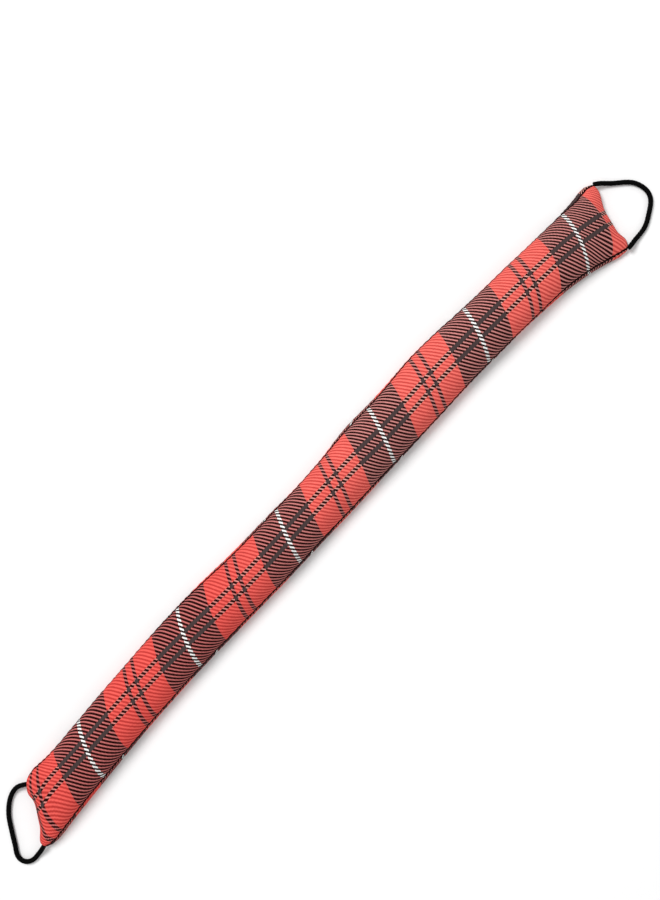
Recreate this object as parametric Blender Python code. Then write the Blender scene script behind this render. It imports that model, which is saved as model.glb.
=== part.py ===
"""Draught excluder: a stuffed tube of tartan cloth with a cord loop at each end.

Metres, +Z up. The tube lies on its back panel along X, in one gentle S, and the
origin is below the middle of the cloth. Two panels, front and back, are sewn
together along both long sides and both ends, and the corners stand out as ears.
Each loop is one piece of cord with an end sewn into each ear of its end.
"""

import math

import bpy
import bmesh
import numpy as np
from mathutils import Vector

MM = 0.001

# The tube's lengthwise plan and height, one row for each place along it, in mm.
# A row runs along a crosswise thread, so its two ends are not level with each other.
SECTION_COLUMNS = (
    "upper_along", "upper_side", "lower_along", "lower_side",
    "upper_inset", "lower_inset", "seam_height", "crown", "underside",
)
SECTION_ROWS = (
    (-418.1, 25.7, -452.6, -33.5, 0.0, 0.0, 9.0, 9.0, 9.0),
    (-412.8, 28.9, -448.4, -36.6, 0.4, 2.0, 9.3, 16.5, 4.6),
    (-404.2, 31.3, -439.6, -39.2, 0.9, 3.6, 10.0, 24.0, 1.4),
    (-390.0, 30.8, -421.4, -38.4, 1.0, 4.4, 11.0, 31.0, 0.0),
    (-366.2, 30.8, -393.5, -35.7, 0.8, 4.6, 12.0, 35.0, 0.0),
    (-328.1, 33.1, -356.5, -32.6, 0.8, 4.6, 12.5, 36.4, 0.0),
    (-250.4, 37.6, -278.8, -27.3, 0.8, 3.6, 12.5, 35.4, 0.0),
    (-172.7, 40.3, -201.1, -24.7, 1.6, 3.6, 12.5, 36.2, 0.0),
    (-97.1, 37.9, -125.5, -25.2, 2.8, 3.5, 12.5, 35.2, 0.0),
    (-25.7, 37.0, -49.9, -25.2, 2.2, 3.4, 12.5, 35.6, 0.0),
    (45.7, 38.3, 21.5, -24.8, 1.4, 3.6, 12.5, 35.0, 0.0),
    (82.4, 42.1, 57.2, -24.4, 3.4, 3.4, 12.5, 36.0, 0.0),
    (119.2, 41.7, 92.9, -23.7, 3.2, 3.0, 12.5, 36.6, 0.0),
    (190.6, 44.1, 166.4, -22.1, 1.2, 1.8, 12.5, 35.6, 0.0),
    (263.0, 39.7, 239.9, -21.9, 1.2, 2.4, 12.5, 36.2, 0.0),
    (334.4, 36.6, 310.3, -24.4, 0.8, 2.4, 12.5, 35.8, 0.0),
    (377.0, 34.6, 351.6, -27.8, 0.8, 4.0, 12.2, 34.4, 0.0),
    (405.8, 33.7, 379.6, -32.8, 1.8, 4.2, 11.6, 32.0, 0.0),
    (429.4, 34.8, 405.2, -39.7, 4.6, 4.2, 10.6, 26.5, 0.8),
    (445.0, 34.2, 421.6, -43.8, 3.0, 3.0, 9.6, 17.5, 4.0),
    (452.4, 29.0, 430.0, -43.2, 0.0, 0.0, 9.0, 9.0, 9.0),
)
FULL_DEPTH = 12.5
FULL_RISE = 23.5

# How far each end seam is drawn in between its ears: place across it, then the left
# end's and the right end's draw, in mm.
END_ROWS = (
    (-1.0, 0.0, 0.0),
    (-0.75, -4.2, -1.8),
    (-0.5, 0.1, 2.2),
    (-0.2, 2.3, 3.2),
    (0.1, 3.6, 3.5),
    (0.4, 3.1, 2.2),
    (0.7, -1.4, -1.8),
    (1.0, 0.0, 0.0),
)
DRAW_REACH = 55.0

# Soft creases in the front panel: middle, heading, length, width and depth, in mm.
CREASE_COLUMNS = ("along", "side", "heading_deg", "length", "width", "depth")
CREASE_ROWS = (
    (-410.0, 4.0, 20.0, 34.0, 7.0, 2.4),
    (-401.0, 22.0, 62.0, 26.0, 6.0, 2.0),
    (-424.0, -24.0, 40.0, 34.0, 8.0, 2.0),
    (418.0, 22.0, -14.0, 46.0, 7.0, 2.2),
    (402.0, -22.0, -42.0, 48.0, 8.0, 2.2),
    (434.0, -6.0, 70.0, 34.0, 7.0, 1.6),
)

CELLS_ACROSS = 16
BODY_SPACING = 9.5
END_SPACING = 4.2
END_ZONE = 62.0
ROUNDNESS = 2.25
FLOOR_PRESS = 1.5
SEAM_DROP = 1.6

CORD_DIAMETER = 5.4
CORD_STEP = 11.5
CORD_LAID = 2.9

# The loops' routes from the upper ear to the lower one: along, side and height, in mm.
LEFT_ROUTE = (
    (-419.4, 26.6, 8.4),
    (-422.8, 28.6, 7.4),
    (-428.2, 30.3, 5.2),
    (-434.8, 29.9, 3.5),
    (-441.8, 27.3, CORD_LAID),
    (-449.6, 22.0, CORD_LAID),
    (-457.9, 13.5, CORD_LAID),
    (-464.6, 3.8, CORD_LAID),
    (-470.4, -5.0, CORD_LAID),
    (-475.4, -12.7, CORD_LAID),
    (-479.0, -17.8, CORD_LAID),
    (-480.7, -22.9, CORD_LAID),
    (-479.7, -28.9, CORD_LAID),
    (-475.9, -33.2, CORD_LAID),
    (-470.1, -35.2, CORD_LAID),
    (-464.5, -34.9, 3.6),
    (-459.4, -34.4, 5.9),
    (-454.6, -33.6, 8.2),
)
RIGHT_ROUTE = (
    (453.9, 27.9, 8.4),
    (456.9, 25.7, 7.2),
    (460.9, 22.2, 5.3),
    (466.6, 16.7, 3.5),
    (475.4, 9.1, CORD_LAID),
    (482.8, 0.9, CORD_LAID),
    (486.3, -8.0, CORD_LAID),
    (486.7, -16.0, CORD_LAID),
    (483.0, -24.4, CORD_LAID),
    (475.8, -30.4, CORD_LAID),
    (467.4, -35.6, CORD_LAID),
    (459.0, -39.8, CORD_LAID),
    (448.6, -41.8, 3.3),
    (440.0, -42.2, 5.2),
    (434.8, -42.7, 7.2),
    (431.7, -42.9, 8.3),
)

CLOTH_RED = (0.72, 0.10, 0.08)
CORD_BLACK = (0.012, 0.012, 0.013)


def smooth_curve(knots, values, at):
    """Read a natural cubic spline through the values at the knots, a row for each place."""
    gaps = np.diff(knots)
    system = np.eye(len(knots))
    bends = np.zeros_like(values)
    for i in range(1, len(knots) - 1):
        system[i, i - 1:i + 2] = gaps[i - 1], 2 * (gaps[i - 1] + gaps[i]), gaps[i]
        bends[i] = 6 * (values[i + 1] - values[i]) / gaps[i]
        bends[i] -= 6 * (values[i] - values[i - 1]) / gaps[i - 1]
    bends = np.linalg.solve(system, bends)
    span = np.clip(np.searchsorted(knots, at, side="right") - 1, 0, len(gaps) - 1)
    gap = gaps[span][:, None]
    after = (at - knots[span])[:, None]
    before = gap - after
    return (
        (bends[span] * before ** 3 + bends[span + 1] * after ** 3) / (6 * gap)
        + (values[span] / gap - bends[span] * gap / 6) * before
        + (values[span + 1] / gap - bends[span + 1] * gap / 6) * after
    )


def tube_rings():
    """Give the section table at each ring of the mesh, close together at the ends."""
    table = np.array(SECTION_ROWS)
    middle = (table[:, 0:2] + table[:, 2:4]) / 2
    steps = np.linalg.norm(np.diff(middle, axis=0), axis=1)
    knots = np.concatenate(([0.0], np.cumsum(steps)))
    places = [0.0]
    for start, stop in zip(knots[:-1], knots[1:]):
        near_end = stop <= END_ZONE + 1 or start >= knots[-1] - END_ZONE - 1
        spacing = END_SPACING if near_end else BODY_SPACING
        count = max(1, round((stop - start) / spacing))
        places.extend(start + (stop - start) * (i + 1) / count for i in range(count))
    rows = smooth_curve(knots, table, np.array(places))
    rings = [dict(zip(SECTION_COLUMNS, row)) for row in rows]
    for ring, place in zip(rings, places):
        ring["from_left"] = place
        ring["from_right"] = knots[-1] - place
        ring["underside"] = max(ring["underside"], 0.0)
    return rings


def rounded(angle):
    """Sideways and upward shares of a quarter-round, a little fuller than an ellipse."""
    power = 2 / ROUNDNESS
    side = math.copysign(abs(math.cos(angle)) ** power, math.cos(angle))
    return side, max(math.sin(angle), 0.0) ** power


def plan_place(ring, across):
    """Plan place on a ring, from across = -1 at its lower edge to 1 at its upper edge."""
    upper = Vector((ring["upper_along"], ring["upper_side"]))
    lower = Vector((ring["lower_along"], ring["lower_side"]))
    place = (upper + lower) / 2 + (upper - lower) / 2 * across
    ends = np.array(END_ROWS)
    for distance, column, inward in ((ring["from_left"], 1, 1), (ring["from_right"], 2, -1)):
        fade = max(0.0, 1 - distance / DRAW_REACH) ** 2
        draw = smooth_curve(ends[:, 0], ends[:, 1:], np.array([across]))[0, column - 1]
        place.x += inward * draw * fade
    return place


def crease_depth(place):
    """Depth of the front panel's creases at a place in plan."""
    depth = 0.0
    for row in CREASE_ROWS:
        crease = dict(zip(CREASE_COLUMNS, row))
        heading = math.radians(crease["heading_deg"])
        offset = place - Vector((crease["along"], crease["side"]))
        lengthwise = offset.x * math.cos(heading) + offset.y * math.sin(heading)
        crosswise = offset.y * math.cos(heading) - offset.x * math.sin(heading)
        depth += crease["depth"] * math.exp(
            -(2 * lengthwise / crease["length"]) ** 2 - (2 * crosswise / crease["width"]) ** 2
        )
    return depth


def front_point(ring, turn):
    """Point of the front panel, from the upper seam at turn 0 over to the lower at 1."""
    side, rise = rounded(math.pi * turn)
    half_width = math.dist(
        (ring["upper_along"], ring["upper_side"]), (ring["lower_along"], ring["lower_side"])
    ) / 2
    inset = ring["upper_inset"] if turn < 0.5 else ring["lower_inset"]
    across = side * (1 - inset / half_width)
    place = plan_place(ring, across)
    lift = ring["crown"] - ring["seam_height"]
    crease = crease_depth(place) * lift / FULL_RISE * rise
    return Vector((place.x, place.y, ring["seam_height"] + lift * rise - crease)) * MM


def back_point(ring, turn):
    """Point of the back panel, from the upper seam at turn 0 under to the lower at 1."""
    half_width = math.dist(
        (ring["upper_along"], ring["upper_side"]), (ring["lower_along"], ring["lower_side"])
    ) / 2
    inset = ring["upper_inset"] if turn < 0.5 else ring["lower_inset"]
    from_seam = math.pi * min(turn, 1 - turn)
    overhang = math.acos(1 - inset / half_width)
    angle = from_seam * (1 + 2 * overhang / math.pi) - overhang
    widest = ring["seam_height"] - SEAM_DROP * inset
    depth = widest - ring["underside"]
    if angle < 0:
        share = math.cos(angle)
        height = widest + SEAM_DROP * inset * math.sin(-angle) / math.sin(overhang)
    else:
        share, drop = rounded(angle)
        press = FLOOR_PRESS * depth / FULL_DEPTH
        height = max(widest - (depth + press) * drop, ring["underside"])
    across = share if turn < 0.5 else -share
    place = plan_place(ring, across)
    return Vector((place.x, place.y, height)) * MM


def add_panel(bm, rings, point):
    """Lay one panel as a grid: rings along it and even turns from seam to seam."""
    cells_along = len(rings) - 1
    panel = bmesh.ops.create_grid(
        bm, x_segments=cells_along, y_segments=CELLS_ACROSS, size=1.0
    )
    for vert in panel["verts"]:
        ring = rings[round((vert.co.x + 1) / 2 * cells_along)]
        turn = round((1 - vert.co.y) / 2 * CELLS_ACROSS) / CELLS_ACROSS
        vert.co = point(ring, turn)


def make_cloth_material():
    material = bpy.data.materials.new("tartan_cloth")
    material.use_nodes = True
    shader = material.node_tree.nodes["Principled BSDF"]
    shader.inputs["Base Color"].default_value = (*CLOTH_RED, 1.0)
    shader.inputs["Roughness"].default_value = 0.9
    shader.inputs["Metallic"].default_value = 0.0
    return material


def make_cord_material():
    material = bpy.data.materials.new("black_cord")
    material.use_nodes = True
    shader = material.node_tree.nodes["Principled BSDF"]
    shader.inputs["Base Color"].default_value = (*CORD_BLACK, 1.0)
    shader.inputs["Roughness"].default_value = 0.75
    shader.inputs["Metallic"].default_value = 0.0
    return material


def build_stuffed_tube():
    """Two panels sewn along all four edges, with the filling between them."""
    rings = tube_rings()
    bm = bmesh.new()
    add_panel(bm, rings, front_point)
    add_panel(bm, rings, back_point)
    bmesh.ops.remove_doubles(bm, verts=bm.verts[:], dist=0.02 * MM)
    bmesh.ops.recalc_face_normals(bm, faces=bm.faces[:])
    mesh = bpy.data.meshes.new("stuffed_tube")
    bm.to_mesh(mesh)
    bm.free()
    mesh.shade_smooth()
    mesh.materials.append(make_cloth_material())
    tube = bpy.data.objects.new("stuffed_tube", mesh)
    bpy.context.collection.objects.link(tube)
    return tube


def build_cord_loop(name, route, material):
    """One loop of cord, as a tube along a smooth curve through its route."""
    points = np.array(route)
    knots = np.concatenate(([0.0], np.cumsum(np.linalg.norm(np.diff(points, axis=0), axis=1))))
    places = np.linspace(0.0, knots[-1], round(knots[-1] / CORD_STEP) + 1)
    laid = smooth_curve(knots, points, places) * MM
    curve = bpy.data.curves.new(name, "CURVE")
    curve.dimensions = "3D"
    curve.bevel_depth = CORD_DIAMETER / 2 * MM
    curve.bevel_resolution = 2
    curve.use_fill_caps = True
    spline = curve.splines.new("POLY")
    spline.points.add(len(laid) - 1)
    for point, place in zip(spline.points, laid):
        point.co = (*place, 1.0)
    curve.materials.append(material)
    loop = bpy.data.objects.new(name, curve)
    bpy.context.collection.objects.link(loop)
    return loop


for leftover in list(bpy.data.objects):
    bpy.data.objects.remove(leftover, do_unlink=True)

build_stuffed_tube()
cord_material = make_cord_material()
build_cord_loop("cord_loop_left", LEFT_ROUTE, cord_material)
build_cord_loop("cord_loop_right", RIGHT_ROUTE, cord_material)
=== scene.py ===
import math

import bpy
import bmesh
import numpy as np
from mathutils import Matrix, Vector, noise


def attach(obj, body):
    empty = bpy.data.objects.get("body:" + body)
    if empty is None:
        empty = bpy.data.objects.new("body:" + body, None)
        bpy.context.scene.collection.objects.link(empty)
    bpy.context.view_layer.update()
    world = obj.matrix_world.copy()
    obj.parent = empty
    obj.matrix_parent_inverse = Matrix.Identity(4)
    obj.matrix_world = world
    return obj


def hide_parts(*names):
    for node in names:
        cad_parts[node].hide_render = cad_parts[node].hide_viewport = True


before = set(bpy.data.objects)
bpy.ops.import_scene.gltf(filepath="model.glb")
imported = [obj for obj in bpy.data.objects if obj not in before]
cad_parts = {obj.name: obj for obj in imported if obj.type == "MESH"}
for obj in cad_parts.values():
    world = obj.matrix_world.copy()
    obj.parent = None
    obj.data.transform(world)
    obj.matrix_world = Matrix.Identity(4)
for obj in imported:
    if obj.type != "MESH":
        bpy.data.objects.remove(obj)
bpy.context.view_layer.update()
mm = 0.001

# the tube, in mm: one row for each place along it, each along a crosswise thread
# sett counts the pattern's repeats at the upper edge, over the middle and at the lower edge
tube = {
    "columns": (
        "upperAlong", "upperSide", "lowerAlong", "lowerSide", "upperInset", "lowerInset",
        "seamHeight", "crown", "underside", "settUpper", "sett", "settLower", "pairAcross",
    ),
    "rows": (
        (-418.1, 25.7, -452.6, -33.5, 0.0, 0.0, 9.0, 9.0, 9.0, -0.66, -0.59, -0.665, 0.18),
        (-412.8, 28.9, -448.4, -36.6, 0.4, 2.0, 9.3, 16.5, 4.6, -0.61, -0.535, -0.598, 0.18),
        (-404.2, 31.3, -439.6, -39.2, 0.9, 3.6, 10.0, 24.0, 1.4, -0.55, -0.468, -0.538, 0.18),
        (-390.0, 30.8, -421.4, -38.4, 1.0, 4.4, 11.0, 31.0, 0.0, -0.425, -0.397, -0.422, 0.24),
        (-366.2, 30.8, -393.5, -35.7, 0.8, 4.6, 12.0, 35.0, 0.0, -0.225, -0.249, -0.25, 0.26),
        (-328.1, 33.1, -356.5, -32.6, 0.8, 4.6, 12.5, 36.4, 0.0, 0.004, 0.0, -0.016, 0.205),
        (-250.4, 37.6, -278.8, -27.3, 0.8, 3.6, 12.5, 35.4, 0.0, 0.5, 0.504, 0.492, 0.13),
        (-172.7, 40.3, -201.1, -24.7, 1.6, 3.6, 12.5, 36.2, 0.0, 0.998, 1.009, 0.996, 0.05),
        (-97.1, 37.9, -125.5, -25.2, 2.8, 3.5, 12.5, 35.2, 0.0, 1.5, 1.507, 1.497, 0.02),
        (-25.7, 37.0, -49.9, -25.2, 2.2, 3.4, 12.5, 35.6, 0.0, 2.004, 2.007, 1.997, 0.055),
        (45.7, 38.3, 21.5, -24.8, 1.4, 3.6, 12.5, 35.0, 0.0, 2.505, 2.497, 2.495, 0.085),
        (82.4, 42.1, 57.2, -24.4, 3.4, 3.4, 12.5, 36.0, 0.0, 2.757, 2.743, 2.743, 0.03),
        (119.2, 41.7, 92.9, -23.7, 3.2, 3.0, 12.5, 36.6, 0.0, 3.012, 2.996, 2.992, -0.01),
        (190.6, 44.1, 166.4, -22.1, 1.2, 1.8, 12.5, 35.6, 0.0, 3.512, 3.499, 3.501, -0.01),
        (263.0, 39.7, 239.9, -21.9, 1.2, 2.4, 12.5, 36.2, 0.0, 4.012, 4.004, 4.01, 0.03),
        (334.4, 36.6, 310.3, -24.4, 0.8, 2.4, 12.5, 35.8, 0.0, 4.517, 4.494, 4.515, 0.045),
        (377.0, 34.6, 351.6, -27.8, 0.8, 4.0, 12.2, 34.4, 0.0, 4.814, 4.782, 4.807, 0.055),
        (405.8, 33.7, 379.6, -32.8, 1.8, 4.2, 11.6, 32.0, 0.0, 5.012, 4.988, 5.006, 0.055),
        (429.4, 34.8, 405.2, -39.7, 4.6, 4.2, 10.6, 26.5, 0.8, 5.202, 5.165, 5.238, 0.02),
        (445.0, 34.2, 421.6, -43.8, 3.0, 3.0, 9.6, 17.5, 4.0, 5.36, 5.262, 5.35, 0.0),
        (452.4, 29.0, 430.0, -43.2, 0.0, 0.0, 9.0, 9.0, 9.0, 5.43, 5.35, 5.44, 0.0),
    ),
    "fullDepth": 12.5,
    "fullRise": 23.5,
    "roundness": 2.25,
    "floorPress": 1.5,
    "seamDrop": 1.6,
    "cellsAcross": 24,
    "bodySpacing": 4.6,
    "endSpacing": 2.4,
    "endZone": 63.0,
    "weldDistance": 0.02,
}

# how far each end seam is drawn in between its ears, in mm
# each row: the place across, from -1 at the lower ear to 1 at the upper, then the left and right end
ends = {
    "rows": (
        (-1.0, 0.0, 0.0),
        (-0.75, -4.2, -1.8),
        (-0.5, 0.1, 2.2),
        (-0.2, 2.3, 3.2),
        (0.1, 3.6, 3.5),
        (0.4, 3.1, 2.2),
        (0.7, -1.4, -1.8),
        (1.0, 0.0, 0.0),
    ),
    "reach": 55.0,
}

# soft troughs in the front panel, in mm
creases = {
    "columns": ("along", "side", "heading", "length", "width", "depth"),
    "rows": (
        (-410.0, 4.0, 20.0, 34.0, 7.0, 2.4),
        (-401.0, 22.0, 62.0, 26.0, 6.0, 2.0),
        (-424.0, -24.0, 40.0, 34.0, 8.0, 2.0),
        (418.0, 22.0, -14.0, 46.0, 7.0, 2.2),
        (402.0, -22.0, -42.0, 48.0, 8.0, 2.2),
        (434.0, -6.0, 70.0, 34.0, 7.0, 1.6),
    ),
}

# the finish of the seams, in mm; the puckers wander, so they aren't evenly spaced
seams = {
    "grooveDepth": 0.9,
    "grooveWidth": 1.5,
    "puckerDepth": 0.35,
    "puckerSpacing": 8.0,
    "puckerStart": 1.6,
    "puckerReach": 7.0,
    "wander": 5.5,
    "wanderAlong": 23.0,
    "wanderAcross": 60.0,
    "wanderLayer": 3.0,
}

# the filling under the cloth, in mm; its relief starts at restHeight over the floor
filling = {
    "lumpHeight": 0.55,
    "lumpSize": 48.0,
    "rippleHeight": 0.16,
    "rippleSize": 14.0,
    "rippleShift": (9, 4, 1),
    "restHeight": 0.2,
    "reliefRise": 2.0,
}

# the cloth simulation; its last three values are lengths in mm
simulation = {
    "steps": 16,
    "quality": 6,
    "mass": 0.1,
    "pressure": 2.0,
    "stiffness": 30.0,
    "bending": 0.6,
    "seamHold": 0.6,
    "seamReach": 0.2,
    "floorReach": 0.3,
    "cap": 2.5,
}

# the two cord loops: routes in mm from the upper ear to the lower one
cords = {
    "diameter": 5.4,
    "strands": 8,
    "turnLength": 15.0,
    "relief": 0.42,
    "underShare": 0.35,
    "cellsAround": 32,
    "cellLength": 0.6,
    "weldDistance": 0.01,
    "floorGap": 0.1,
    "hidden": 3.5,
    "darkFibre": (0.0005, 0.0005, 0.0005),
    "paleFibre": (0.002, 0.002, 0.002),
    "fibreScale": 900.0,
    "fibreDetail": 4.0,
    "roughness": 0.7,
    "specular": 0.03,
    "bumpStrength": 0.3,
    "bumpDepth": 0.2,
    "left": (
        (-419.4, 26.6, 8.4),
        (-422.8, 28.6, 7.4),
        (-428.2, 30.3, 5.2),
        (-434.8, 29.9, 3.5),
        (-441.8, 27.3, 2.9),
        (-449.6, 22.0, 2.9),
        (-457.9, 13.5, 2.9),
        (-464.6, 3.8, 2.9),
        (-470.4, -5.0, 2.9),
        (-475.4, -12.7, 2.9),
        (-479.0, -17.8, 2.9),
        (-480.7, -22.9, 2.9),
        (-479.7, -28.9, 2.9),
        (-475.9, -33.2, 2.9),
        (-470.1, -35.2, 2.9),
        (-464.5, -34.9, 3.6),
        (-459.4, -34.4, 5.9),
        (-454.6, -33.6, 8.2),
    ),
    "right": (
        (453.9, 27.9, 8.4),
        (456.9, 25.7, 7.2),
        (460.9, 22.2, 5.3),
        (466.6, 16.7, 3.5),
        (475.4, 9.1, 2.9),
        (482.8, 0.9, 2.9),
        (486.3, -8.0, 2.9),
        (486.7, -16.0, 2.9),
        (483.0, -24.4, 2.9),
        (475.8, -30.4, 2.9),
        (467.4, -35.6, 2.9),
        (459.0, -39.8, 2.9),
        (448.6, -41.8, 3.3),
        (440.0, -42.2, 5.2),
        (434.8, -42.7, 7.2),
        (431.7, -42.9, 8.3),
    ),
}

# the pattern and its colours; a repeat of the sett measures acrossSize mm round the tube
# the seams fall at the named edges, in repeats, and the lines' places and half widths are in threads
# each back row: the sett, the upper and lower shift along it, and the upper and lower edge
# seamLine and bumpDepth are in mm
weave = {
    "threads": 136,
    "twill": 4,
    "acrossSize": 160.0,
    "bowPower": 3,
    "frontEdges": (0.246, 0.257),
    "backRows": (
        (-0.66, 0.03, 0.222, 0.236, 0.31),
        (-0.4, 0.04, 0.215, 0.238, 0.285),
        (-0.2, 0.05, 0.209, 0.240, 0.240),
        (0.02, 0.06, 0.200, 0.240, 0.240),
        (0.22, 0.06, 0.192, 0.240, 0.266),
        (0.7, 0.09, 0.175, 0.243, 0.268),
        (2.0, 0.143, 0.126, 0.247, 0.268),
        (3.0, 0.186, 0.089, 0.266, 0.268),
        (4.6, 0.06, 0.03, 0.262, 0.262),
        (5.0, 0.0, 0.01, 0.300, 0.262),
        (5.4, 0.0, 0.0, 0.300, 0.262),
    ),
    # width of the black seam line: painted groove shade with its dark thread
    "seamLine": 1.8,
    "endShare": 0.75,
    "whiteHalf": 2,
    "darkHalf": 34,
    "pairPlace": 5.5,
    "pairHalf": 2,
    "lightRed": (0.76, 0.102, 0.086),
    "deepRed": (0.44, 0.036, 0.031),
    "pinkLine": (0.60, 0.170, 0.160),
    "palePink": (0.84, 0.29, 0.255),
    "black": (0.012, 0.0006, 0.0006),
    "charcoal": (0.054, 0.036, 0.036),
    "white": (0.90, 0.90, 0.88),
    "whiteGain": 2,
    # painted sheen: the tint that makes the reds paler towards the right end, and how fast it grows
    # along the tube
    "noSheen": (1.0, 1.0, 1.0),
    "paintedSheen": (1.08, 1.5, 1.48),
    "sheenRate": 0.6,
    "sheenOffset": -0.7,
    "plainTint": 0.85,
    "threadTint": 0.07,
    "patchTint": 0.16,
    "patchScale": 90.0,
    "patchDetail": 3.0,
    "roughness": 0.9,
    "specular": 0.03,
    "bumpStrength": 0.35,
    "bumpDepth": 0.25,
}

# where the photo was taken from: above the image's middle, turned so the tube slants
shot = {
    "alongMiddle": 57.5,
    "sideMiddle": 37.3,
    "distance": 1550.0,
    "viewHeight": 945.0,
    "referenceHeight": 12.0,
    "turn": 46.3,
    "sensor": 24.0,
}

# a white table under a bright backdrop, in metres, with one large lamp
studio = {
    "floorSize": 4.0,
    "floorHeight": -0.0003,
    "floorColour": (0.81, 0.81, 0.81),
    "floorGlow": 0.02,
    "floorRoughness": 0.9,
    "floorSpecular": 0.1,
    "backdrop": 0.67,
    "lampSize": 1.8,
    "lampPower": 145.0,
    "lampPlace": (0.1, 2.15, 3.75),
}


# geometry helpers
def smoothCurve(knots, values, at):
    # natural cubic spline through the values at the knots, a row for each place
    gaps = np.diff(knots)
    system = np.eye(len(knots))
    bends = np.zeros_like(values)
    for i in range(1, len(knots) - 1):
        system[i, i - 1:i + 2] = gaps[i - 1], 2 * (gaps[i - 1] + gaps[i]), gaps[i]
        bends[i] = 6 * (values[i + 1] - values[i]) / gaps[i]
        bends[i] -= 6 * (values[i] - values[i - 1]) / gaps[i - 1]
    bends = np.linalg.solve(system, bends)
    span = np.clip(np.searchsorted(knots, at, side="right") - 1, 0, len(gaps) - 1)
    gap = gaps[span][:, None]
    after = (at - knots[span])[:, None]
    before = gap - after
    return (
        (bends[span] * before ** 3 + bends[span + 1] * after ** 3) / (6 * gap)
        + (values[span] / gap - bends[span] * gap / 6) * before
        + (values[span + 1] / gap - bends[span + 1] * gap / 6) * after
    )


def rounded(angle):
    power = 2 / tube["roundness"]
    side = math.copysign(abs(math.cos(angle)) ** power, math.cos(angle))
    return side, max(math.sin(angle), 0.0) ** power


def tubeRings():
    # the table read at each ring of the mesh, close together at the ends
    table = np.array(tube["rows"])
    middle = (table[:, 0:2] + table[:, 2:4]) / 2
    knots = np.concatenate(([0.0], np.cumsum(np.linalg.norm(np.diff(middle, axis=0), axis=1))))
    places = [0.0]
    for start, stop in zip(knots[:-1], knots[1:]):
        nearEnd = stop <= tube["endZone"] or start >= knots[-1] - tube["endZone"]
        spacing = tube["endSpacing"] if nearEnd else tube["bodySpacing"]
        count = max(1, round((stop - start) / spacing))
        places.extend(start + (stop - start) * (i + 1) / count for i in range(count))
    rings = [dict(zip(tube["columns"], row)) for row in smoothCurve(knots, table, np.array(places))]
    for ring, place in zip(rings, places):
        ring["fromLeft"] = place
        ring["fromRight"] = knots[-1] - place
        ring["underside"] = max(ring["underside"], 0.0)
    return rings


def planPlace(ring, across):
    upper = Vector((ring["upperAlong"], ring["upperSide"]))
    lower = Vector((ring["lowerAlong"], ring["lowerSide"]))
    place = (upper + lower) / 2 + (upper - lower) / 2 * across
    rows = np.array(ends["rows"])
    for distance, column, inward in ((ring["fromLeft"], 0, 1), (ring["fromRight"], 1, -1)):
        fade = max(0.0, 1 - distance / ends["reach"]) ** 2
        if fade > 0:
            draw = smoothCurve(rows[:, 0], rows[:, 1:], np.array([across]))[0, column]
            place.x += inward * draw * fade
    return place


def creaseDepth(place):
    depth = 0.0
    for row in creases["rows"]:
        crease = dict(zip(creases["columns"], row))
        heading = math.radians(crease["heading"])
        offset = place - Vector((crease["along"], crease["side"]))
        lengthwise = offset.x * math.cos(heading) + offset.y * math.sin(heading)
        crosswise = offset.y * math.cos(heading) - offset.x * math.sin(heading)
        spread = (2 * lengthwise / crease["length"]) ** 2 + (2 * crosswise / crease["width"]) ** 2
        depth += crease["depth"] * math.exp(-spread)
    return depth


def halfWidth(ring):
    upper = (ring["upperAlong"], ring["upperSide"])
    lower = (ring["lowerAlong"], ring["lowerSide"])
    return math.dist(upper, lower) / 2


def frontPoint(ring, turn):
    # the front panel, from the upper seam over the crown to the lower seam
    side, rise = rounded(math.pi * turn)
    inset = ring["upperInset"] if turn < 0.5 else ring["lowerInset"]
    place = planPlace(ring, side * (1 - inset / halfWidth(ring)))
    lift = ring["crown"] - ring["seamHeight"]
    crease = creaseDepth(place) * lift / tube["fullRise"] * rise
    return Vector((place.x, place.y, ring["seamHeight"] + lift * rise - crease)) * mm


def backPoint(ring, turn):
    # the back panel, from the upper seam round the belly to the lower seam
    inset = ring["upperInset"] if turn < 0.5 else ring["lowerInset"]
    fromSeam = math.pi * min(turn, 1 - turn)
    overhang = math.acos(1 - inset / halfWidth(ring))
    angle = fromSeam * (1 + 2 * overhang / math.pi) - overhang
    widest = ring["seamHeight"] - tube["seamDrop"] * inset
    depth = widest - ring["underside"]
    if angle < 0:
        share = math.cos(angle)
        height = widest + tube["seamDrop"] * inset * math.sin(-angle) / math.sin(overhang)
    else:
        share, drop = rounded(angle)
        press = tube["floorPress"] * depth / tube["fullDepth"]
        height = max(widest - (depth + press) * drop, ring["underside"])
    place = planPlace(ring, share if turn < 0.5 else -share)
    return Vector((place.x, place.y, height)) * mm


def arcAlong(points):
    steps = [(b - a).length for a, b in zip(points[:-1], points[1:])]
    return np.concatenate(([0.0], np.cumsum(steps)))


def weavePlace(ring, turn, arc, wholeArc, pairArc, isFront):
    # repeats of the pattern along the tube, and across it from the middle of its paired lines
    straight = ring["settUpper"] * (1 - turn) + ring["settLower"] * turn
    bow = ring["sett"] - (ring["settUpper"] + ring["settLower"]) / 2
    along = straight + bow * math.sin(math.pi * turn) ** weave["bowPower"]
    edges = weave["frontEdges"]
    if not isFront:
        rows = np.array(weave["backRows"])
        shifts = [np.interp(ring["sett"], rows[:, 0], rows[:, column]) for column in (1, 2)]
        edges = [np.interp(ring["sett"], rows[:, 0], rows[:, column]) for column in (3, 4)]
        along += shifts[0] * (1 - turn) - shifts[1] * turn
    isUpper = arc < pairArc
    toSeam = pairArc if isUpper else wholeArc - pairArc
    share = abs(pairArc - arc) / toSeam
    plain = toSeam / (weave["acrossSize"] * mm)
    across = plain * share + (edges[0 if isUpper else 1] - plain) * share ** 2
    return along, across if isUpper else -across


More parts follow.
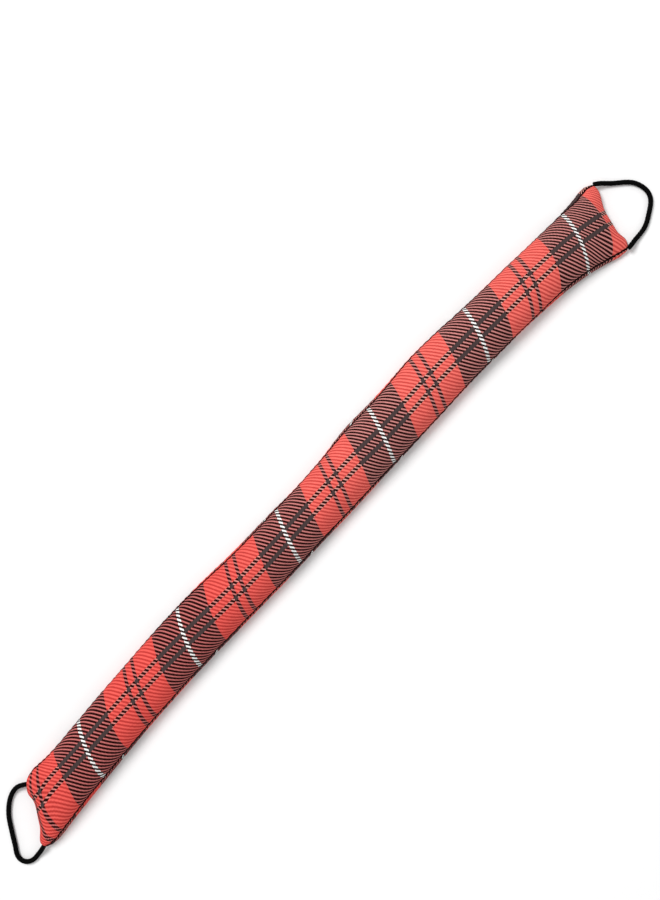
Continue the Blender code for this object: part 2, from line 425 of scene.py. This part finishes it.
def addPanel(bm, rings, point, isFront):
    # a grid laid over one panel, with its place in the weave as its UV map
    cells, across = len(rings) - 1, tube["cellsAcross"]
    weaveMap = bm.loops.layers.uv.get("weave") or bm.loops.layers.uv.new("weave")
    seamGap = bm.verts.layers.float.get("seamGap") or bm.verts.layers.float.new("seamGap")
    alongTube = bm.verts.layers.float.get("alongTube") or bm.verts.layers.float.new("alongTube")
    places, arcs, threads = [], [], []
    for ring in rings:
        points = [point(ring, turn / across) for turn in range(across + 1)]
        arc = arcAlong(points)
        pairTurn = math.acos(ring["pairAcross"]) / math.pi if isFront else 0.5
        pairArc = np.interp(pairTurn * across, range(across + 1), arc)
        places.append(points)
        arcs.append(arc)
        threads.append([
            weavePlace(ring, turn / across, arc[turn], arc[-1], pairArc, isFront)
            for turn in range(across + 1)
        ])
    grid = bmesh.ops.create_grid(bm, x_segments=cells, y_segments=across, size=1.0)
    where = {}
    for vert in grid["verts"]:
        i = round((vert.co.x + 1) / 2 * cells)
        j = round((1 - vert.co.y) / 2 * across)
        where[vert] = (i, j)
        vert.co = places[i][j]
        gap = min(arcs[i][j], arcs[i][-1] - arcs[i][j])
        endGap = min((places[i][j] - places[end][j]).length for end in (0, -1))
        vert[seamGap] = min(gap, endGap * weave["endShare"])
        vert[alongTube] = rings[i]["fromLeft"] * mm
    for face in {face for vert in grid["verts"] for face in vert.link_faces}:
        for loop in face.loops:
            i, j = where[loop.vert]
            loop[weaveMap].uv = threads[i][j]


def buildTube():
    rings = tubeRings()
    bm = bmesh.new()
    addPanel(bm, rings, frontPoint, True)
    addPanel(bm, rings, backPoint, False)
    bmesh.ops.remove_doubles(bm, verts=bm.verts[:], dist=tube["weldDistance"] * mm)
    bmesh.ops.recalc_face_normals(bm, faces=bm.faces[:])
    mesh = bpy.data.meshes.new("tartanTube")
    bm.to_mesh(mesh)
    bm.free()
    piece = bpy.data.objects.new("tartanTube", mesh)
    bpy.context.collection.objects.link(piece)
    print("tube sewn:", len(mesh.polygons), "faces")
    return piece


def fillTube(piece):
    # the filling pushes the sewn panels out, and the cloth wrinkles a little
    start = np.array([vert.co[:] for vert in piece.data.vertices])
    gaps = [item.value for item in piece.data.attributes["seamGap"].data]
    onFloor = [i for i, place in enumerate(start) if place[2] < simulation["floorReach"] * mm]
    onSeam = [i for i, gap in enumerate(gaps) if gap < simulation["seamReach"] * mm]
    held = piece.vertex_groups.new(name="held")
    held.add(onSeam, simulation["seamHold"], "REPLACE")
    held.add(onFloor, 1.0, "REPLACE")
    print("held while filling:", len(onSeam), "points on the seams,", len(onFloor), "on the floor")
    modifier = piece.modifiers.new("filling", "CLOTH")
    settings = modifier.settings
    settings.quality = simulation["quality"]
    settings.mass = simulation["mass"]
    settings.tension_stiffness = simulation["stiffness"]
    settings.compression_stiffness = simulation["stiffness"]
    settings.bending_stiffness = simulation["bending"]
    settings.use_pressure = True
    settings.uniform_pressure_force = simulation["pressure"]
    settings.vertex_group_mass = "held"
    settings.effector_weights.gravity = 0.0
    scene = bpy.context.scene
    for step in range(1, simulation["steps"] + 1):
        scene.frame_set(step)
    evaluated = piece.evaluated_get(bpy.context.evaluated_depsgraph_get())
    moved = np.array([vert.co[:] for vert in evaluated.to_mesh().vertices]) - start
    evaluated.to_mesh_clear()
    piece.modifiers.remove(modifier)
    scene.frame_set(1)
    reach = np.linalg.norm(moved, axis=1)
    limit = simulation["cap"] * mm
    share = limit * np.tanh(reach / limit) / np.maximum(reach, 1e-9)
    settledPlaces = start + moved * share[:, None]
    settledPlaces[:, 2] = np.maximum(settledPlaces[:, 2], 0.0)
    for vert, place in zip(piece.data.vertices, settledPlaces):
        vert.co = place
    piece.vertex_groups.clear()
    print("tube filled: moved up to", round(float(reach.max()) / mm, 2), "mm")


def refine(piece, levels):
    finer = piece.modifiers.new("finer", "SUBSURF")
    finer.levels = levels
    finer.render_levels = levels
    depsgraph = bpy.context.evaluated_depsgraph_get()
    mesh = bpy.data.meshes.new_from_object(piece.evaluated_get(depsgraph), depsgraph=depsgraph)
    piece.modifiers.clear()
    piece.data = mesh


def finishCloth(piece):
    # seam grooves with their puckers, and the lumps of the filling
    mesh = piece.data
    gaps = mesh.attributes["seamGap"].data
    alongs = mesh.attributes["alongTube"].data
    normals = [vert.normal.copy() for vert in mesh.vertices]
    for vert, normal in zip(mesh.vertices, normals):
        gap = gaps[vert.index].value / mm
        along = alongs[vert.index].value / mm
        place = vert.co / mm
        groove = -seams["grooveDepth"] * math.exp(-(gap / seams["grooveWidth"]) ** 2)
        wanderPlace = (
            along / seams["wanderAlong"], place.y / seams["wanderAcross"], seams["wanderLayer"],
        )
        wander = seams["wander"] * noise.noise(Vector(wanderPlace))
        pucker = math.sin(2 * math.pi * along / seams["puckerSpacing"] + wander)
        nearSeam = math.exp(-(gap / seams["puckerReach"]) ** 2)
        nearSeam *= 1 - math.exp(-(gap / seams["puckerStart"]) ** 2)
        lumps = filling["lumpHeight"] * noise.noise(place / filling["lumpSize"])
        ripplePlace = place / filling["rippleSize"] + Vector(filling["rippleShift"])
        ripples = filling["rippleHeight"] * noise.noise(ripplePlace)
        shift = groove + seams["puckerDepth"] * pucker * nearSeam + lumps + ripples
        relief = min(1.0, max(0.0, place.z - filling["restHeight"]) / filling["reliefRise"])
        vert.co += normal * shift * mm * relief
        vert.co.z = max(vert.co.z, 0.0)
    mesh.shade_smooth()


# materials: shader maths as Python expressions
class Value:
    def __init__(self, maker, socket):
        self.maker = maker
        self.socket = socket

    def maths(self, operation, *others):
        return self.maker.node(
            "ShaderNodeMath", {"operation": operation}, dict(enumerate((self, *others)))
        )

    def __add__(self, other):
        return self.maths("ADD", other)

    def __sub__(self, other):
        return self.maths("SUBTRACT", other)

    def __rsub__(self, other):
        return self * -1 + other

    def __mul__(self, other):
        return self.maths("MULTIPLY", other)

    def __truediv__(self, other):
        return self.maths("DIVIDE", other)

    def __mod__(self, other):
        return self.maths("FLOORED_MODULO", other)

    def __lt__(self, other):
        return self.maths("LESS_THAN", other)

    def __gt__(self, other):
        return self.maths("GREATER_THAN", other)

    def __abs__(self):
        return self.maths("ABSOLUTE")

    def floor(self):
        return self.maths("FLOOR")

    def fraction(self):
        return self.maths("FRACT")

    def sine(self):
        return self.maths("SINE")

    def either(self, other):
        return self.maths("MAXIMUM", other)


class MaterialMaker:
    def __init__(self, name):
        self.material = bpy.data.materials.new(name)
        self.material.use_nodes = True
        self.tree = self.material.node_tree
        self.shader = self.tree.nodes["Principled BSDF"]

    def node(self, kind, settings=None, inputs=None, output=0):
        made = self.tree.nodes.new(kind)
        for name, value in (settings or {}).items():
            setattr(made, name, value)
        for name, value in (inputs or {}).items():
            self.feed(made.inputs[name], value)
        return Value(self, made.outputs[output])

    def feed(self, socket, value):
        if isinstance(value, Value):
            self.tree.links.new(value.socket, socket)
        elif isinstance(value, tuple) and len(value) == 3 and socket.type == "RGBA":
            socket.default_value = (*value, 1.0)
        else:
            socket.default_value = value

    def mix(self, factor, first, second):
        made = self.tree.nodes.new("ShaderNodeMix")
        made.data_type = "RGBA"
        self.feed(made.inputs["Factor"], factor)
        self.feed([s for s in made.inputs if s.name == "A" and s.type == "RGBA"][0], first)
        self.feed([s for s in made.inputs if s.name == "B" and s.type == "RGBA"][0], second)
        return Value(self, [s for s in made.outputs if s.type == "RGBA"][0])

    def objectNoise(self, scale, detail):
        place = self.node("ShaderNodeTexCoord", None, None, "Object")
        inputs = {"Vector": place, "Scale": scale, "Detail": detail}
        return self.node("ShaderNodeTexNoise", None, inputs)

    def bump(self, strength, depth, height):
        inputs = {"Strength": strength, "Distance": depth * mm, "Height": height}
        self.set("Normal", self.node("ShaderNodeBump", None, inputs, "Normal"))

    def set(self, name, value):
        self.feed(self.shader.inputs[name], value)


def tartanMaterial():
    maker = MaterialMaker("tartanTwill")
    uv = maker.node("ShaderNodeUVMap", {"uv_map": "weave"})
    along = maker.node("ShaderNodeSeparateXYZ", None, {"Vector": uv}, "X")
    across = maker.node("ShaderNodeSeparateXYZ", None, {"Vector": uv}, "Y")
    threads = weave["threads"]
    twill = weave["twill"]
    crossThread = (along * threads).floor()
    lengthThread = (across * threads).floor()
    # the lengthwise thread is on top at two crossings of every four
    lengthOnTop = (crossThread + lengthThread) % twill < (twill - 1) / 2
    # the white line is centred between two threads, the paired lines on either side of one
    fromWhite = abs(((crossThread + 0.5) / threads + 0.5).fraction() - 0.5)
    fromCrossPair = abs((crossThread / threads).fraction() - 0.5)
    fromLengthPair = abs((lengthThread / threads + 0.5).fraction() - 0.5)
    darkHalf = weave["darkHalf"] / threads
    pairPlace = weave["pairPlace"] / threads
    pairHalf = weave["pairHalf"] / threads
    crossWhite = fromWhite < weave["whiteHalf"] / threads
    crossDark = fromWhite < darkHalf
    crossPair = abs(fromCrossPair - pairPlace) < pairHalf
    lengthPair = abs(fromLengthPair - pairPlace) < pairHalf
    lengthBlack = lengthPair.either(fromLengthPair > darkHalf)
    crossBlack = crossPair.either(crossDark)
    colour = maker.mix(lengthOnTop, weave["deepRed"], weave["lightRed"])
    # painted shade: a thread on top crosses two others, and is painted lightest halfway over them,
    # where it stands highest, and darker towards its ends, where it dips under
    wave = 2 * math.pi / twill
    lengthFloatShade = ((along * threads + lengthThread) % twill * wave).sine() * lengthOnTop
    crossFloatShade = ((across * threads + crossThread) % twill * -wave).sine() * (1 - lengthOnTop)
    darkLines = maker.mix(lengthFloatShade, weave["black"], weave["pinkLine"])
    colour = maker.mix(crossBlack, colour, darkLines)
    dashes = maker.mix(crossFloatShade * crossFloatShade, weave["black"], weave["palePink"])
    colour = maker.mix(lengthBlack, colour, dashes)
    # painted sheen: its reds are made paler and pinker towards the right end, standing in for a haze
    # of reflected lamp light
    sheenShare = maker.node(
        "ShaderNodeMath", {"operation": "MULTIPLY_ADD", "use_clamp": True},
        {0: along, 1: weave["sheenRate"], 2: weave["sheenOffset"]},
    )
    paintedSheen = maker.mix(sheenShare, weave["noSheen"], weave["paintedSheen"])
    colour = maker.node("ShaderNodeVectorMath", {"operation": "MULTIPLY"}, {0: colour, 1: paintedSheen})
    colour = maker.mix(lengthBlack * crossBlack, colour, weave["charcoal"])
    # the white line takes the same painted float shade, softened by whiteGain
    whiteLine = maker.mix(lengthFloatShade * weave["whiteGain"], weave["black"], weave["white"])
    colour = maker.mix(crossWhite, colour, whiteLine)
    # a thin black line along the seams: painted shade of the seam's groove, together with its dark
    # thread
    seamGap = maker.node("ShaderNodeAttribute", {"attribute_name": "seamGap"}, None, "Fac")
    colour = maker.mix(seamGap < weave["seamLine"] * mm, colour, weave["black"])
    # each thread is a little lighter or darker than the next
    line = {"noise_dimensions": "1D"}
    crossTint = maker.node("ShaderNodeTexWhiteNoise", line, {"W": crossThread})
    lengthTint = maker.node("ShaderNodeTexWhiteNoise", line, {"W": lengthThread})
    patches = maker.objectNoise(weave["patchScale"], weave["patchDetail"])
    tint = (crossTint + lengthTint) * weave["threadTint"] + patches * weave["patchTint"]
    tint = tint + weave["plainTint"]
    colour = maker.node(
        "ShaderNodeVectorMath", {"operation": "SCALE"}, {"Vector": colour, "Scale": tint}
    )
    maker.set("Base Color", colour)
    maker.set("Roughness", weave["roughness"])
    maker.set("Specular IOR Level", weave["specular"])
    # rounded threads, the one on top standing higher
    crossRound = ((along * threads).fraction() * math.pi).sine()
    lengthRound = ((across * threads).fraction() * math.pi).sine()
    height = lengthOnTop * lengthRound + (1 - lengthOnTop) * crossRound
    maker.bump(weave["bumpStrength"], weave["bumpDepth"], height)
    return maker.material


def cordMaterial():
    maker = MaterialMaker("braidedCord")
    fibres = maker.objectNoise(cords["fibreScale"], cords["fibreDetail"])
    maker.set("Base Color", maker.mix(fibres, cords["darkFibre"], cords["paleFibre"]))
    maker.set("Roughness", cords["roughness"])
    maker.set("Specular IOR Level", cords["specular"])
    maker.bump(cords["bumpStrength"], cords["bumpDepth"], fibres)
    return maker.material


def floorMaterial():
    # it glows a little, so that it looks as white as in the photo
    maker = MaterialMaker("paleFloor")
    maker.set("Base Color", studio["floorColour"])
    maker.set("Roughness", studio["floorRoughness"])
    maker.set("Specular IOR Level", studio["floorSpecular"])
    maker.set("Emission Color", (1.0, 1.0, 1.0))
    maker.set("Emission Strength", studio["floorGlow"])
    return maker.material


def cordPath(route):
    points = np.array(route)
    knots = np.concatenate(([0.0], np.cumsum(np.linalg.norm(np.diff(points, axis=0), axis=1))))
    count = round(knots[-1] / cords["cellLength"])
    path = smoothCurve(knots, points, np.linspace(0.0, knots[-1], count + 1))
    # both ends run on into the ears
    outAtStart = path[0] - path[1]
    outAtEnd = path[-1] - path[-2]
    first = path[0] + outAtStart / np.linalg.norm(outAtStart) * cords["hidden"]
    last = path[-1] + outAtEnd / np.linalg.norm(outAtEnd) * cords["hidden"]
    return np.vstack((first, path, last))


def braidHeight(along, angle):
    # two families of strands wind opposite ways and pass over and under each other
    perWay = cords["strands"] / 2
    turned = perWay * angle / (2 * math.pi)
    wound = perWay * along / cords["turnLength"]
    rightward = math.sin(math.pi * ((turned + wound) % 1.0))
    leftward = math.sin(math.pi * ((turned - wound) % 1.0))
    over = 0.5 + 0.5 * math.sin(4 * math.pi * turned)
    under = cords["underShare"]
    return max(rightward * (1 - under + under * over), leftward * (1 - under * over))


def buildCord(name, route):
    path = cordPath(route)
    around = cords["cellsAround"]
    steps = np.concatenate(([0.0], np.cumsum(np.linalg.norm(np.diff(path, axis=0), axis=1))))
    frames = []
    side = Vector((0, 0, 1))
    for i in range(len(path)):
        ahead = Vector(path[min(i + 1, len(path) - 1)] - path[max(i - 1, 0)]).normalized()
        side = (side - ahead * side.dot(ahead)).normalized()
        frames.append((Vector(path[i]), side.copy(), ahead.cross(side)))
    bm = bmesh.new()
    grid = bmesh.ops.create_grid(bm, x_segments=len(path) - 1, y_segments=around, size=1.0)
    for vert in grid["verts"]:
        i = round((vert.co.x + 1) / 2 * (len(path) - 1))
        j = round((vert.co.y + 1) / 2 * around)
        angle = 2 * math.pi * (j % around) / around
        centre, up, across = frames[i]
        radius = cords["diameter"] / 2 - cords["relief"] * (1 - braidHeight(steps[i], angle))
        vert.co = (centre + (up * math.cos(angle) + across * math.sin(angle)) * radius) * mm
        vert.co.z = max(vert.co.z, cords["floorGap"] * mm)
    bmesh.ops.remove_doubles(bm, verts=bm.verts[:], dist=cords["weldDistance"] * mm)
    bmesh.ops.holes_fill(bm, edges=[edge for edge in bm.edges if edge.is_boundary], sides=0)
    bmesh.ops.recalc_face_normals(bm, faces=bm.faces[:])
    mesh = bpy.data.meshes.new(name)
    bm.to_mesh(mesh)
    bm.free()
    mesh.shade_smooth()
    piece = bpy.data.objects.new(name, mesh)
    bpy.context.collection.objects.link(piece)
    return piece, path * mm


# camera, lamp and floor
def placeCamera():
    data = bpy.data.cameras.new("camera")
    data.sensor_fit = "VERTICAL"
    data.sensor_height = shot["sensor"]
    data.lens = shot["sensor"] * shot["distance"] / shot["viewHeight"]
    camera = bpy.data.objects.new("camera", data)
    camera.location = Vector(
        (shot["alongMiddle"], shot["sideMiddle"], shot["referenceHeight"] + shot["distance"])
    ) * mm
    camera.rotation_euler = (0.0, 0.0, math.radians(-shot["turn"]))
    bpy.context.collection.objects.link(camera)
    bpy.context.scene.camera = camera


def placeLamp():
    # a softbox that looks at the origin
    data = bpy.data.lights.new("softbox", "AREA")
    data.shape = "DISK"
    data.size = studio["lampSize"]
    data.energy = studio["lampPower"]
    lamp = bpy.data.objects.new("softbox", data)
    lamp.location = studio["lampPlace"]
    lamp.rotation_euler = (-Vector(studio["lampPlace"])).to_track_quat("-Z", "Y").to_euler()
    bpy.context.collection.objects.link(lamp)


def buildStudio():
    bm = bmesh.new()
    bmesh.ops.create_grid(bm, x_segments=1, y_segments=1, size=studio["floorSize"])
    bmesh.ops.translate(bm, verts=bm.verts[:], vec=(0, 0, studio["floorHeight"]))
    mesh = bpy.data.meshes.new("floor")
    bm.to_mesh(mesh)
    bm.free()
    mesh.materials.append(floorMaterial())
    floor = bpy.data.objects.new("floor", mesh)
    bpy.context.collection.objects.link(floor)
    world = bpy.data.worlds.new("studio")
    world.use_nodes = True
    background = world.node_tree.nodes["Background"]
    background.inputs["Color"].default_value = (1, 1, 1, 1)
    background.inputs["Strength"].default_value = studio["backdrop"]
    bpy.context.scene.world = world
    placeLamp()


bpy.context.scene.view_settings.view_transform = "Standard"
placeCamera()
buildStudio()

cordFinish = cordMaterial()
for side in ("left", "right"):
    loop, path = buildCord(side + "CordLoop", cords[side])
    loop.data.materials.append(cordFinish)
    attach(loop, "root")
    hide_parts("cord_loop_" + side)

cloth = buildTube()
fillTube(cloth)
refine(cloth, 1)
finishCloth(cloth)
cloth.data.materials.append(tartanMaterial())
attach(cloth, "root")
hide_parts("stuffed_tube")
print("tube finished:", len(cloth.data.polygons), "faces")
